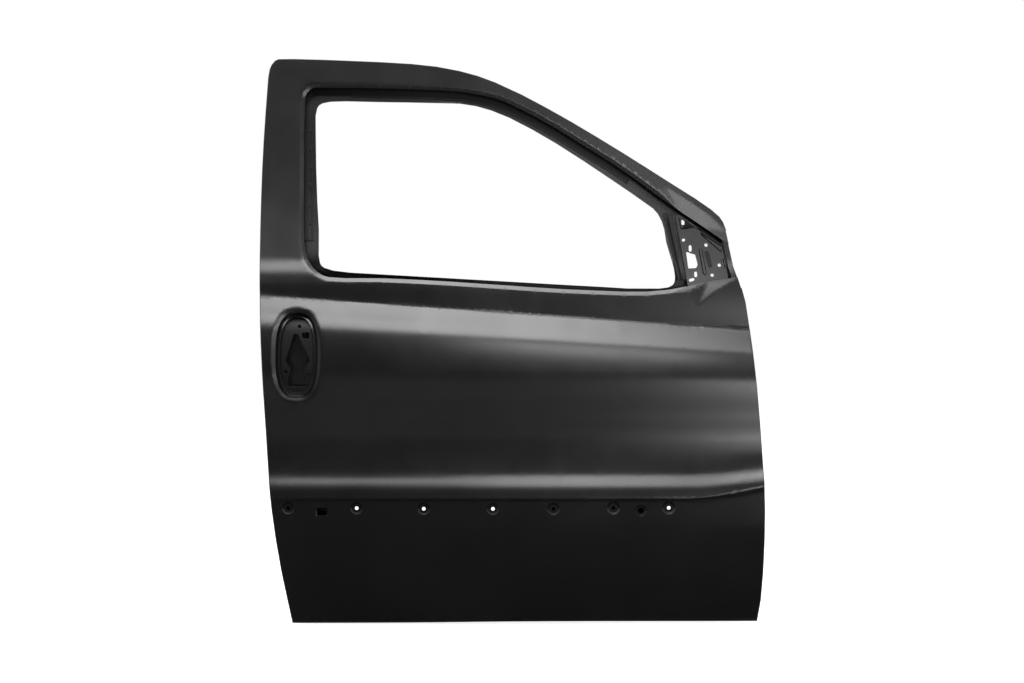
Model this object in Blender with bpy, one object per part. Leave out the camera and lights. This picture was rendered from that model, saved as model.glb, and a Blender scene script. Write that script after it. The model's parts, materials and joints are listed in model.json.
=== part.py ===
"""Right-hand front door shell of a tall car, in pressed steel, for Blender 4.5.

The door is laid out as it hangs on the car, seen from outside along +Y: X runs forward from the rear edge,
Z runs up from the bottom hem and Y runs inward from the widest point of the skin. At the end everything
moves so that the origin is on the upper hinge's mounting face.
"""

import math

import bmesh
import bpy
import numpy as np
from mathutils import Vector
from mathutils.geometry import delaunay_2d_cdt

# Whole door
DOOR_WIDTH = 1.171
DOOR_HEIGHT = 1.317
SHEET = 0.0008
SEAT_GAP = 0.0003
FACET_GAP = 0.0006
THICK_PLATE = 0.002

# Faceting of curves and of large faces
CHORD_ERROR = 0.0006
LONGEST_EDGE = 0.075
SPLINE_STEPS = 12
CORNER_POINTS = 4
FINE_CORNER_COUNT = 2
GRID_CLEAR_SHARE = 0.4
MITRE_LIMIT_SHARE = 0.4
KEPT_INSET_SHARE = 0.97
SKIN_GRID = (0.09, 0.036)
PANEL_GRID = (0.13, 0.065)

# Skin: how far each height leans in, and how far the ends bow in
SKIN_LEAN = 0.150
PLAN_BOW = 0.014
BOW_CENTRE_SHARE = 0.45
SILL_SHARES = ((0, 0.31), (0.034, 0.245), (0.076, 0.175), (0.121, 0.115), (0.171, 0.055), (0.2155, 0.015))
BELLY_SHARES = (
    (0.2215, 0),
    (0.24, 0.025),
    (0.266, 0.09),
    (0.319, 0.14),
    (0.364, 0.135),
    (0.411, 0.12),
    (0.444, 0.125),
    (0.494, 0.193),
    (0.52, 0.28),
    (0.543, 0.365),
)
UPPER_SHARES = ((0.546, 0.368), (0.607, 0.40), (0.645, 0.49), (0.759, 0.69), (0.911, 0.893), (1, 1))
STEP_SHARE = 0.2155
CREASE_SHARE = 0.543
CREASE_REAR_SHARE = 0.578
CREASE_FRONT_SHARE = 0.513
STEP_RISE_SHARE = 0.021
STEP_RISE_START_SHARE = 0.851
BLEND_SHARES = (0.171, 0.30, 0.40, 0.605)

# Outline of the door, as shares of its width and height
BOTTOM_SHARES = ((0.067, 0), (0.28, 0.001), (0.517, 0.003), (0.987, 0.003))
FRONT_SHARES = ((0.987, 0.003), (0.994, 0.041), (0.999, 0.112), (1, 0.218), (0.991, 0.358), (0.9738, 0.513))
FRONT_TOP_SHARES = ((0.9738, 0.513), (0.964, 0.569), (0.95, 0.61))
SAIL_SHARES = ((0.95, 0.61), (0.944, 0.625), (0.934, 0.668))
NOSE_SHARES = (
    (0.934, 0.668), (0.929, 0.69), (0.919, 0.712), (0.898, 0.73), (0.809, 0.782), (0.681, 0.854),
    (0.578, 0.908), (0.494, 0.947), (0.433, 0.969), (0.369, 0.983), (0.309, 0.99), (0.164, 0.997),
    (0.05, 1), (0.028, 0.9985), (0.0165, 0.986), (0.012, 0.966),
)
REAR_SHARES = (
    (0.012, 0.966), (0.006, 0.881), (0.002, 0.8), (0, 0.675), (0.001, 0.586), (0.005, 0.498),
    (0.014, 0.358), (0.026, 0.218), (0.042, 0.113), (0.067, 0),
)
BELT_SHARES = (
    (0.95, 0.61), (0.874, 0.598), (0.835, 0.59), (0.795, 0.585), (0.755, 0.583), (0.676, 0.585),
    (0.597, 0.588), (0.478, 0.595), (0.359, 0.602), (0.24, 0.607), (0.171, 0.607),
)
LIP_SHARES = (
    (0.171, 0.607), (0.129, 0.611), (0.107, 0.625), (0.093, 0.647), (0.087, 0.69), (0.086, 0.8),
    (0.086, 0.915), (0.0885, 0.936), (0.101, 0.947), (0.125, 0.948), (0.237, 0.947), (0.337, 0.944),
    (0.397, 0.941), (0.437, 0.935), (0.477, 0.926), (0.558, 0.891), (0.637, 0.848), (0.717, 0.803),
    (0.816, 0.739), (0.934, 0.668),
)
CLEAR_SHARES = (
    (0.179, 0.617), (0.139, 0.622), (0.12, 0.631), (0.115, 0.694), (0.11, 0.766), (0.107, 0.856),
    (0.107, 0.905), (0.113, 0.918), (0.13, 0.924), (0.237, 0.924), (0.357, 0.922), (0.397, 0.921),
    (0.437, 0.915), (0.477, 0.903), (0.518, 0.886), (0.598, 0.845), (0.678, 0.798), (0.758, 0.749),
    (0.79, 0.727), (0.804, 0.703), (0.809, 0.676), (0.824, 0.597), (0.757, 0.589), (0.677, 0.592),
    (0.438, 0.604), (0.179, 0.617),
)

# Hemmed edge and window lip
FOLD_RADIUS = 0.0015
HEM_WIDTH = 0.010
FLANGE_GAP = 0.001
HEM_STACK = 3 * SHEET + 2 * FLANGE_GAP
HEM_TRIM_COUNT = 3
BEVEL_TRIM_COUNT = 2
LIP_BEVEL = 0.009
LIP_DROP = 0.003
LIP_RETURN = 0.009

# Inner panel
FLANGE_WIDTH = 0.014
INNER_PLANE = 0.112
FRAME_DEPTH = 0.030
PLANE_TOP_SHARE = 0.60
FRAME_FOOT_SHARE = 0.655
HINGE_SETBACK = 0.049
HINGE_FACE = DOOR_WIDTH - HINGE_SETBACK
LATCH_FACE = 0.025
APERTURE_RETURN = 0.006
FLANGE_SETBACK = FOLD_RADIUS + SHEET
BEAD_WIDTH = 0.012
BEAD_HEIGHT = 0.006
SWAGE_WIDTH = 0.016
SWAGE_RAMP = 0.004
SWAGE_HEIGHT = 0.005
SWAGE_SHARES = (
    ((0.12, 0.085), (0.68, 0.085)),
    ((0.095, 0.15), (0.095, 0.33)),
    ((0.589, 0.2), (0.594, 0.42)),
)
SPEAKER_SHARES = (0.83, 0.165)
SPEAKER_RADIUS = 0.083
SPEAKER_POINTS = 28
SERVICE_CORNER = 0.035
SERVICE_SHARES = (
    ((0.18, 0.16), (0.52, 0.16), (0.56, 0.40), (0.18, 0.42)),
    ((0.62, 0.33), (0.80, 0.33), (0.80, 0.45), (0.62, 0.45)),
)

# Mirror corner
SAIL_PLATE_SHARES = ((0.851, 0.5918), (0.9315, 0.606), (0.919, 0.6665), (0.8265, 0.7255))
SAIL_RADIUS = 0.006
SAIL_DEPTH = 0.0105
SAIL_HOLE_MARGIN = 0.004
SAIL_REINFORCEMENT_SHARES = ((0.8968, 0.60), (0.9255, 0.61), (0.916, 0.657), (0.876, 0.6845))
SAIL_OPENING_SHARES = (
    (0.852, 0.6246), (0.8675, 0.6255), (0.8705, 0.6308), (0.8695, 0.6361), (0.8656, 0.6494), (0.8576, 0.6512),
    (0.848, 0.6545),
)
SAIL_CORNER = 0.0015
SAIL_BOLT_SHARES = ((0.9139, 0.6308), (0.8994, 0.6131), (0.888, 0.6665))
SAIL_BOLT_HOLE = 0.0042
BOLT_POINTS = 12
SAIL_RAISE = 0.005
SAIL_RAMP = 0.002
SAIL_BAND_SHARES = (
    (0.8375, 0.6945), (0.8715, 0.6955), (0.879, 0.6835), (0.919, 0.6525), (0.9215, 0.663),
    (0.832, 0.7205),
)
SAIL_RIB_SHARES = ((0.8765, 0.6575), (0.8845, 0.6167))
SAIL_RIB_WIDTH = 0.009
SAIL_SLOT_WIDTH = 0.0065
SAIL_SLOT_SHARES = (
    ((0.8425, 0.6748), (0.8435, 0.6754)),
    ((0.8562, 0.6636), (0.8562, 0.6570)),
    ((0.8665, 0.6167), (0.8665, 0.6114)),
    ((0.8556, 0.6036), (0.8612, 0.6052)),
    ((0.92, 0.641), (0.923, 0.628)),
)
SAIL_WIDE_SLOT_SHARES = ((0.889, 0.652), (0.8955, 0.6295))
SAIL_WIDE_SLOT = 0.0105
SAIL_WINDOW_SHARES = (0.8422, 0.7065)
SAIL_WINDOW = (0.007, 0.011)

# Window channels: legs, web and the leg that shows inside the window
WEB_SIDE = 0.011
LEG_START = 0.001
REVEAL = 0.020
DIVISION_TOP_SHARES = (0.8106, 0.725)
DIVISION_FOOT_SHARES = (0.8488, 0.604)
DIVISION_CLEAR = 0.0009
DIVISION_WEB = 0.010
DIVISION_REVEAL = 0.009
SLOT_COUNT = 6
CHANNEL_SLOT = (0.006, 0.034)
CHANNEL_SLOT_SIDE = 0.012
REAR_CHANNEL_SHARES = (0.66, 0.93)
REAR_CHANNEL_SIDE_SHARE = 0.101
HEADER_SHARES = (0.12, 0.79)
GUIDE_DEPTH = 0.022
GUIDE_LIP = 0.012
REAR_GUIDE_SHARES = ((0.104, 0.36), (0.101, 0.545))
FRONT_GUIDE_SHARES = ((0.853, 0.545), (0.866, 0.36))

# Belt reinforcements: distances below the belt edge, and the height of their flanges
OUTER_BELT = (0.012, 0.032)
INNER_BELT = (0.016, 0.052)
BELT_FLANGE = 0.012
BELT_END_TRIM_COUNT = 2

# Handle cup in the skin: how far each loop is set in, and its depth
CUP_CENTRE_SHARES = (0.0762, 0.4715)
CUP_WIDTH = 0.118
CUP_HEIGHT = 0.218
CUP_RIM = 0.010
CUP_RIM_DROP = 0.003
CUP_DEPTH = 0.020
CUP_WALL = 0.006
CUP_FLANGE = 0.004
CUP_SQUARENESS = 2.7
CUP_POINTS = 32
CUP_INSETS = (0, CUP_RIM, CUP_RIM + CUP_WALL, CUP_RIM + CUP_WALL + CUP_FLANGE)
CUP_DEPTHS = (0, CUP_RIM_DROP, CUP_DEPTH, CUP_DEPTH)

GRIP_WALL = 0.0015
GRIP_DROP = 0.010
GRIP_CUT_SHARES = (
    (-0.17, -0.335), (0.17, -0.335), (0.18, -0.25), (0.12, -0.165), (0.245, -0.06),
    (0, 0.227), (-0.07, 0.227), (-0.23, -0.06), (-0.12, -0.165), (-0.18, -0.25),
)
GRIP_HOLE_SHARES = ((0.038, 0.305), (0.225, -0.208), (-0.225, -0.178))
GRIP_HOLE = 0.0038
GRIP_WINDOW_SHARES = (0.162, 0.208)
GRIP_WINDOW = (0.016, 0.014)

# Plates on the shut faces: heights as shares, and how far they reach along the inner panel
HINGE_CENTRE_SHARES = (0.16, 0.44)
HINGE_PLATE_HEIGHT = 0.12
HINGE_LEG = 0.055
HINGE_DEPTH = 0.056
HINGE_BOLT_PITCH = 0.05
HINGE_BOLT_Y = 0.078
HINGE_BOLT_STEPS = (-0.5, 0.5)
CHECK_CENTRE_SHARE = 0.28
CHECK_HEIGHT = 0.06
LATCH_CENTRE_SHARE = 0.486
LATCH_PLATE_HEIGHT = 0.11
LATCH_LEG = 0.045
LATCH_BOLT_PITCH = 0.034
LATCH_BOLT_Y = 0.072
LATCH_BOLT_STEPS = (-1, 0, 1)
LATCH_DEPTH = 0.06
BOLT_HOLE = 0.0045
NUT_ACROSS = 0.0075
NUT_LENGTH = 0.008
NUT_BORE = 0.004
OVERRUN = 0.004

# Side beam and its seats
BEAM_RADIUS = 0.014
BEAM_WALL = 0.002
BEAM_Y = 0.051
BEAM_REAR_SHARES = (0.07, 0.29)
BEAM_FRONT_SHARES = (0.92, 0.335)
BEAM_POINTS = 20
BRACKET_HALF = (0.035, 0.03)
COLLAR_WALL = 0.0025
COLLAR_LENGTH = 0.03
BRACKET_WEB = 0.02
BRACKET_SINK = 0.001
COLLAR_SINK = 0.0006
PAD_RADIUS = 0.012
PAD_SHARES = (0.3, 0.5, 0.7)

# Regulator brackets
RAIL_SHARES = ((0.36, 0.49), (0.58, 0.50))
RAIL_HEIGHT = 0.06
RAIL_FOOT = 0.016
RAIL_WIDTH = 0.05
RAIL_RISE = 0.012

# Clip row in the skin
CLIP_SHARES = ((0.061, 0.204), (0.196, 0.204), (0.328, 0.203), (0.464, 0.203), (0.583, 0.203))
CLIP_RADIUS = 0.0145
CLIP_HOLE = 0.0042
CLIP_DEPTH = 0.004
BIG_CLIP_SHARES = ((0.701, 0.2045), (0.81, 0.2045))
BIG_CLIP_RADIUS = 0.0155
DRAIN_SHARES = (0.755, 0.2)
DRAIN_RADIUS = 0.0135
DRAIN_HOLE = 0.007
SLOT_SHARES = (0.127, 0.197)
SLOT_WIDTH = 0.022
SLOT_HEIGHT = 0.014
SLOT_RADIUS = 0.003
SLOT_END_POINTS = 5
CLIP_POINTS = 12
CLIP_FLOOR_SHARE = 0.72
CLIPS = (
    *((share, CLIP_RADIUS, CLIP_HOLE) for share in CLIP_SHARES),
    *((share, BIG_CLIP_RADIUS, CLIP_HOLE) for share in BIG_CLIP_SHARES),
    (DRAIN_SHARES, DRAIN_RADIUS, DRAIN_HOLE),
)

# Finishes: name, grey, roughness and metallic
PAINTS = (
    ("black_primer", 0.02, 0.35, 0.0),
    ("primed_steel", 0.03, 0.45, 0.0),
    ("zinc_nut", 0.35, 0.4, 1.0),
    ("mastic", 0.05, 0.9, 0.0),
)


def at(share):
    return Vector((share[0] * DOOR_WIDTH, share[1] * DOOR_HEIGHT))


def smooth(low, high, value):
    t = min(max((value - low) / (high - low), 0), 1)
    return t * t * (3 - 2 * t)


def hermite(run, s):
    """A smooth curve through a run of stations, read at s."""
    if s <= run[0][0]:
        return run[0][1]
    if s >= run[-1][0]:
        return run[-1][1]
    slopes = [
        (run[min(i + 1, len(run) - 1)][1] - run[max(i - 1, 0)][1])
        / (run[min(i + 1, len(run) - 1)][0] - run[max(i - 1, 0)][0])
        for i in range(len(run))
    ]
    i = max(k for k in range(len(run) - 1) if run[k][0] <= s)
    width = run[i + 1][0] - run[i][0]
    t = (s - run[i][0]) / width
    start, end = run[i][1], run[i + 1][1]
    return (
        start * (2 * t**3 - 3 * t**2 + 1)
        + end * (3 * t**2 - 2 * t**3)
        + width * (slopes[i] * (t**3 - 2 * t**2 + t) + slopes[i + 1] * (t**3 - t**2))
    )


def crease_share(along):
    return CREASE_REAR_SHARE + (CREASE_FRONT_SHARE - CREASE_REAR_SHARE) * along


def step_share(along):
    rise = max(0, (along - STEP_RISE_START_SHARE) / (1 - STEP_RISE_START_SHARE))
    return STEP_SHARE + STEP_RISE_SHARE * rise**1.5


def skin(x, z):
    """Y of the skin's outer face. The trim step and the shoulder crease keep their own lines."""
    along, up = x / DOOR_WIDTH, z / DOOR_HEIGHT
    low, mid, high, belt = BLEND_SHARES
    real = (0, low, step_share(along), mid, high, crease_share(along), belt, 1)
    drawn = (0, low, STEP_SHARE, mid, high, CREASE_SHARE, belt, 1)
    s = float(np.interp(up, real, drawn))
    if s <= SILL_SHARES[-1][0]:
        lean = hermite(SILL_SHARES, s)
    elif s < BELLY_SHARES[0][0]:
        lean = SILL_SHARES[-1][1] * (BELLY_SHARES[0][0] - s) / (BELLY_SHARES[0][0] - STEP_SHARE)
    elif s <= CREASE_SHARE:
        lean = hermite(BELLY_SHARES, s)
    else:
        lean = hermite(UPPER_SHARES, s)
    bow = ((along - BOW_CENTRE_SHARE) / (1 - BOW_CENTRE_SHARE)) ** 2
    return SKIN_LEAN * lean + PLAN_BOW * bow


def inner_face(x, z):
    """Y of the inner panel's outer face: flat below the belt, parallel to the skin round the window."""
    frame = skin(x, z) + FRAME_DEPTH
    t = smooth(PLANE_TOP_SHARE * DOOR_HEIGHT, FRAME_FOOT_SHARE * DOOR_HEIGHT, z)
    return INNER_PLANE + (frame - INNER_PLANE) * t


def offset_from(surface, depth):
    return lambda x, z: surface(x, z) + depth


def spline(points, steps=SPLINE_STEPS):
    """Centripetal curve through the points, which are kept."""
    pts = [points[0] * 2 - points[1], *points, points[-1] * 2 - points[-2]]
    drawn = [points[0]]
    for p0, p1, p2, p3 in zip(pts, pts[1:], pts[2:], pts[3:]):
        t1 = (p1 - p0).length ** 0.5
        t2 = t1 + (p2 - p1).length ** 0.5
        t3 = t2 + (p3 - p2).length ** 0.5
        for k in range(1, steps + 1):
            t = t1 + (t2 - t1) * k / steps
            a1 = p0 * ((t1 - t) / t1) + p1 * (t / t1)
            a2 = p1 * ((t2 - t) / (t2 - t1)) + p2 * ((t - t1) / (t2 - t1))
            a3 = p2 * ((t3 - t) / (t3 - t2)) + p3 * ((t - t2) / (t3 - t2))
            b1 = a1 * ((t2 - t) / t2) + a2 * (t / t2)
            b2 = a2 * ((t3 - t) / (t3 - t1)) + a3 * ((t - t1) / (t3 - t1))
            drawn.append(b1 * ((t2 - t) / (t2 - t1)) + b2 * ((t - t1) / (t2 - t1)))
    return drawn


def thinned(points):
    """Fewest of the points that stay within the chord error and the longest edge."""
    kept = [0]
    while kept[-1] < len(points) - 1:
        start = kept[-1]
        best = start + 1
        for end in range(start + 2, len(points)):
            chord = points[end] - points[start]
            if chord.length > LONGEST_EDGE:
                break
            across = Vector((-chord.y, chord.x)).normalized()
            if max(abs((p - points[start]).dot(across)) for p in points[start + 1 : end]) > CHORD_ERROR:
                break
            best = end
        kept.append(best)
    return [points[i] for i in kept]


def run_of(shares):
    return thinned(spline([at(share) for share in shares]))


def joined(*runs):
    """Runs that follow each other, as one loop without the repeated corners."""
    return [p for run in runs for p in run[:-1]]


def inset(loop, distance, closed=True):
    """Each point of a loop moved to its left, the inside of a loop that runs anticlockwise."""
    count = len(loop)
    moved = []
    for i, p in enumerate(loop):
        before = loop[i - 1] if closed or i else None
        after = loop[(i + 1) % count] if closed or i < count - 1 else None
        sides = [(p - before).normalized()] if before is not None else []
        if after is not None:
            sides.append((after - p).normalized())
        normals = [Vector((-s.y, s.x)) for s in sides]
        middle = sum(normals, Vector((0, 0))).normalized()
        moved.append(p + middle * (distance / max(middle.dot(normals[0]), MITRE_LIMIT_SHARE)))
    return moved


def mended(loop, source, distance):
    """An inset loop whose points that came too near the source take the place of the nearest good one."""
    ring = np.array([tuple(p) for p in source + source[:1]])
    start, step = ring[:-1], np.diff(ring, axis=0)
    good = []
    for p in loop:
        rel = np.array(tuple(p)) - start
        t = np.clip((rel * step).sum(1) / (step * step).sum(1), 0, 1)
        near = np.sqrt(((rel - step * t[:, None]) ** 2).sum(1)).min()
        good.append(near > abs(distance) * KEPT_INSET_SHARE)
    count = len(loop)
    kept = [k for k in range(count) if good[k]]
    return [loop[min(kept, key=lambda k: min((k - i) % count, (i - k) % count))] for i in range(count)]


def contains(loop, points):
    """Which of the points lie inside the loop."""
    ring = np.array([tuple(p) for p in loop])
    following = np.roll(ring, -1, axis=0)
    x, z = points[:, 0:1], points[:, 1:2]
    spans = (ring[:, 1] > z) != (following[:, 1] > z)
    rise = np.where(following[:, 1] == ring[:, 1], 1, following[:, 1] - ring[:, 1])
    crossing = ring[:, 0] + (z - ring[:, 1]) * (following[:, 0] - ring[:, 0]) / rise
    return (spans & (x < crossing)).sum(axis=1) % 2 == 1


def far_from(points, lines, distance):
    """Which of the points keep the distance from every line."""
    keep = np.ones(len(points), bool)
    for line in lines:
        ring = np.array([tuple(p) for p in line])
        for a, b in zip(ring, ring[1:]):
            if not (b - a).any():
                continue
            rel = points - a
            t = np.clip(rel @ (b - a) / ((b - a) @ (b - a)), 0, 1)
            keep &= np.linalg.norm(rel - np.outer(t, b - a), axis=1) > distance
    return keep


def step_top_share(along):
    return step_share(along) + BELLY_SHARES[0][0] - STEP_SHARE


SKIN_LINES = (step_share, step_top_share, crease_share)


class Stamping:
    """A sheet built as one skin of faces that look outwards, and then given its thickness behind them."""

    def __init__(self):
        self.bm = bmesh.new()
        self.seen = {}

    def vertex(self, x, y, z):
        key = (round(x, 6), round(y, 6), round(z, 6))
        if key not in self.seen:
            self.seen[key] = self.bm.verts.new((x, y, z))
        return self.seen[key]

    def face(self, corners):
        distinct = list(dict.fromkeys(corners))
        if len(distinct) > 2:
            self.bm.faces.new(distinct)

    def strip(self, first, second, closed=False):
        """Faces between two lines of as many points. Seen from outside, the second line is on the left.
        All are split along the same diagonal, so that sheets which lie on each other have the same facets."""
        a = [self.vertex(*p) for p in first]
        b = [self.vertex(*p) for p in second]
        for i in range(len(a) if closed else len(a) - 1):
            k = (i + 1) % len(a)
            self.face((a[i], a[k], b[k]))
            self.face((a[i], b[k], b[i]))

    def fill(self, rim, surface, grid, holes=(), loops=(), shut=(), lines=()):
        """A face inside the rim, round the holes, through the loops and lines. All are points in space.
        Between them, grid points lie on the surface, outside the flat loops in shut."""
        closed = [rim, *holes, *loops]
        points, edges = [], []
        for ring in closed:
            clean = [p for i, p in enumerate(ring) if math.dist(p, ring[i - 1]) > CHORD_ERROR / 10]
            start = len(points)
            points += clean
            edges += [(start + i, start + (i + 1) % len(clean)) for i in range(len(clean))]
        for line in lines:
            edges += [(len(points) + i, len(points) + i + 1) for i in range(len(line) - 1)]
            points += line
        low, high = np.min(rim, axis=0), np.max(rim, axis=0)
        rows = np.arange(low[2], high[2], grid[1])
        columns = np.arange(low[0], high[0], grid[0])
        field = np.array([(x + (k % 2) * grid[0] / 2, z) for k, z in enumerate(rows) for x in columns])
        keep = contains(flat(rim), field)
        for ring in [*map(flat, holes), *shut]:
            keep &= ~contains(ring, field)
        walls = [flat([*ring, ring[0]]) for ring in closed] + [flat(line) for line in lines]
        keep &= far_from(field, walls, grid[1] * GRID_CLEAR_SHARE)
        points += [(x, surface(x, z), z) for x, z in field[keep]]
        drawn = [Vector((p[0], p[2])) for p in points]
        spots, _, faces, origins, _, _ = delaunay_2d_cdt(drawn, edges, [], 0, CHORD_ERROR / 100)
        verts = [
            self.vertex(p.x, points[origin[0]][1] if origin else surface(p.x, p.y), p.y)
            for p, origin in zip(spots, origins)
        ]
        centres = np.array([tuple(sum((spots[i] for i in f), Vector((0, 0))) / len(f)) for f in faces])
        keep = contains(flat(rim), centres)
        for ring in holes:
            keep &= ~contains(flat(ring), centres)
        for f, wanted in zip(faces, keep):
            if wanted:
                self.face([verts[i] for i in f])

    def solid(self, name, finish, thickness=SHEET):
        mesh = bpy.data.meshes.new(name)
        self.bm.to_mesh(mesh)
        self.bm.free()
        obj = bpy.data.objects.new(name, mesh)
        bpy.context.collection.objects.link(obj)
        mesh.materials.append(finish)
        wall = obj.modifiers.new("thickness", "SOLIDIFY")
        wall.thickness = thickness
        wall.offset = -1
        wall.use_even_offset = True
        wall.use_quality_normals = True
        return obj


def flat(points):
    """Points in space as seen from outside, X and Z only."""
    return [(p[0], p[2]) for p in points]


def lifted(loop, surface, depth=0.0):
    """The loop's points in space, on the surface and then deeper."""
    return [(p.x, surface(p.x, p.y) + depth, p.y) for p in loop]


def paint(name, grey, roughness, metallic):
    """A satin primer or bare metal, as a Principled BSDF."""
    made = bpy.data.materials.new(name)
    made.use_nodes = True
    shader = made.node_tree.nodes["Principled BSDF"]
    shader.inputs["Base Color"].default_value = (grey, grey, grey, 1)
    shader.inputs["Roughness"].default_value = roughness
    shader.inputs["Metallic"].default_value = metallic
    return made


def circle(centre, radius, points):
    return [
        centre + Vector((math.cos(t), math.sin(t))) * radius
        for t in (2 * math.pi * i / points for i in range(points))
    ]


def barrel(centre, width, height):
    """The handle cup's outline: flat ends, full sides."""
    loop = []
    for i in range(CUP_POINTS):
        c, s = math.cos(2 * math.pi * i / CUP_POINTS), math.sin(2 * math.pi * i / CUP_POINTS)
        x = math.copysign(abs(c) ** (2 / CUP_SQUARENESS), c) * width / 2
        z = math.copysign(abs(s) ** (2 / CUP_SQUARENESS), s) * height / 2
        loop.append(centre + Vector((x, z)))
    return loop


def in_cup(share):
    """A place given in shares of the handle cup, from its centre."""
    return at(CUP_CENTRE_SHARES) + Vector((share[0] * CUP_WIDTH, share[1] * CUP_HEIGHT))


def rounded(corners, radius, points=CORNER_POINTS):
    """A polygon that runs anticlockwise, with its corners rounded."""
    loop = []
    for i, corner in enumerate(corners):
        before = (corners[i - 1] - corner).normalized()
        after = (corners[(i + 1) % len(corners)] - corner).normalized()
        half = before.angle(after) / 2
        centre = corner + (before + after).normalized() * (radius / math.sin(half))
        start = corner + before * (radius / math.tan(half)) - centre
        end = corner + after * (radius / math.tan(half)) - centre
        turn = start.angle(end)
        for k in range(points + 1):
            t = k / points
            arm = start * math.sin(turn * (1 - t)) + end * math.sin(turn * t)
            loop.append(centre + arm / math.sin(turn))
    return loop


def box_loop(centre, width, height, radius):
    x, z = Vector((width / 2, 0)), Vector((0, height / 2))
    return rounded([centre - x - z, centre + x - z, centre + x + z, centre - x + z], radius)


def slot_loop(ends, width):
    """A slot with round ends about two places."""
    start, end = (at(share) for share in ends)
    heading = math.atan2(end.y - start.y, end.x - start.x)
    loop = []
    for centre, first in ((end, heading - math.pi / 2), (start, heading + math.pi / 2)):
        for k in range(SLOT_END_POINTS):
            t = first + math.pi * k / (SLOT_END_POINTS - 1)
            loop.append(centre + Vector((math.cos(t), math.sin(t))) * (width / 2))
    return loop


def swage(ends, width, ramp, surface, height):
    """The two lines of a raised rib: its foot, and its flat top on the side of the height."""
    foot, top = slot_loop(ends, width), slot_loop(ends, width - 2 * ramp)
    return [lifted(foot, surface), lifted(top, surface, height)]


def square_in(surface, x, z):
    """The direction straight into the door from the surface."""
    dx = (surface(x + CHORD_ERROR, z) - surface(x - CHORD_ERROR, z)) / (2 * CHORD_ERROR)
    dz = (surface(x, z + CHORD_ERROR) - surface(x, z - CHORD_ERROR)) / (2 * CHORD_ERROR)
    return Vector((-dx, 1, -dz)).normalized()


def behind(surface, depth):
    """A surface this far behind another, measured square to it."""
    return lambda x, z: surface(x, z) + depth / square_in(surface, x, z).y


FRONT_RUN = [*joined(run_of(FRONT_SHARES)), *run_of(FRONT_TOP_SHARES)]
HEM_RUN = [*joined(run_of(NOSE_SHARES), run_of(REAR_SHARES), run_of(BOTTOM_SHARES)), *FRONT_RUN]
EDGE = joined(HEM_RUN, run_of(SAIL_SHARES))
LIP_RUN = run_of(LIP_SHARES)
BELT_RUN = run_of(BELT_SHARES)
WINDOW_RUN = [*joined(BELT_RUN), *LIP_RUN]


def shut_wall():
    """Where the inner panel turns inward, one point for each of the door edge's: set in from it, and straight
    at the hinges and at the latch."""
    line = mended(inset(EDGE, FLANGE_WIDTH), EDGE, FLANGE_WIDTH)
    return [Vector((min(max(p.x, LATCH_FACE), HINGE_FACE), p.y)) for p in line]


WALL = shut_wall()


def height_line(share_of):
    """A line along the skin at its own share of the height, between the shut walls."""
    line = []
    count = math.ceil(DOOR_WIDTH / SKIN_GRID[0])
    for i in range(count + 1):
        along = i / count
        point = Vector((along * DOOR_WIDTH, share_of(along) * DOOR_HEIGHT))
        line.append(point)
    inside = contains(inset(WALL, FLANGE_WIDTH / 2), np.array([tuple(p) for p in line]))
    return [p for p, wanted in zip(line, inside) if wanted]


def outer_panel(finish):
    sheet = Stamping()
    hem = inset(HEM_RUN, FOLD_RADIUS, closed=False)
    first, last = HEM_TRIM_COUNT, len(HEM_RUN) - HEM_TRIM_COUNT
    border = WALL[first:last]
    window = [*WINDOW_RUN[1:-1]]
    rim = [
        *lifted(border, skin),
        *lifted(hem[last - 1 :], skin),
        *lifted(window, skin, LIP_DROP),
        *lifted(hem[: first + 1], skin),
    ]
    cup = [barrel(at(CUP_CENTRE_SHARES), CUP_WIDTH - 2 * w, CUP_HEIGHT - 2 * w) for w in CUP_INSETS]
    loops = [lifted(loop, skin, depth) for loop, depth in zip(cup[:-1], CUP_DEPTHS)]
    holes = [lifted(cup[-1], skin, CUP_DEPTHS[-1])]
    shut = [cup[0]]
    for share, radius, hole in CLIPS:
        dish = [circle(at(share), r, CLIP_POINTS) for r in (radius, radius * CLIP_FLOOR_SHARE, hole)]
        loops += [lifted(dish[0], skin), lifted(dish[1], skin, CLIP_DEPTH)]
        holes.append(lifted(dish[2], skin, CLIP_DEPTH))
        shut.append(dish[0])
    slot = box_loop(at(SLOT_SHARES), SLOT_WIDTH, SLOT_HEIGHT, SLOT_RADIUS)
    width, height = SLOT_WIDTH + 2 * SLOT_RADIUS, SLOT_HEIGHT + 2 * SLOT_RADIUS
    slot_rim = box_loop(at(SLOT_SHARES), width, height, SLOT_RADIUS)
    loops.append(lifted(slot_rim, skin))
    holes.append(lifted(slot, skin, CLIP_DEPTH))
    shut.append(slot_rim)
    bevel = inset(window, LIP_BEVEL, closed=False)[BEVEL_TRIM_COUNT:-BEVEL_TRIM_COUNT]
    lines = [lifted(bevel, skin), *(lifted(height_line(share), skin) for share in SKIN_LINES)]
    lines += [lifted(beside(BELT_BACK, side), skin) for side in OUTER_BELT]
    sheet.fill(rim, skin, SKIN_GRID, holes, loops, shut, lines)
    sheet.strip(lifted(hem[first:last], skin), lifted(border, skin))
    fold = lifted(HEM_RUN, skin, FOLD_RADIUS)
    back = lifted(hem, skin, HEM_STACK)
    end = lifted(inset(HEM_RUN, HEM_WIDTH, closed=False), skin, HEM_STACK)
    for outer, inner in ((fold, lifted(hem, skin)), (back, fold), (end, back)):
        sheet.strip(outer[1:-1], inner[1:-1])
    sheet.strip(lifted(window, skin, LIP_RETURN), lifted(window, skin, LIP_DROP))
    return sheet.solid("outer_panel", finish)


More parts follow.
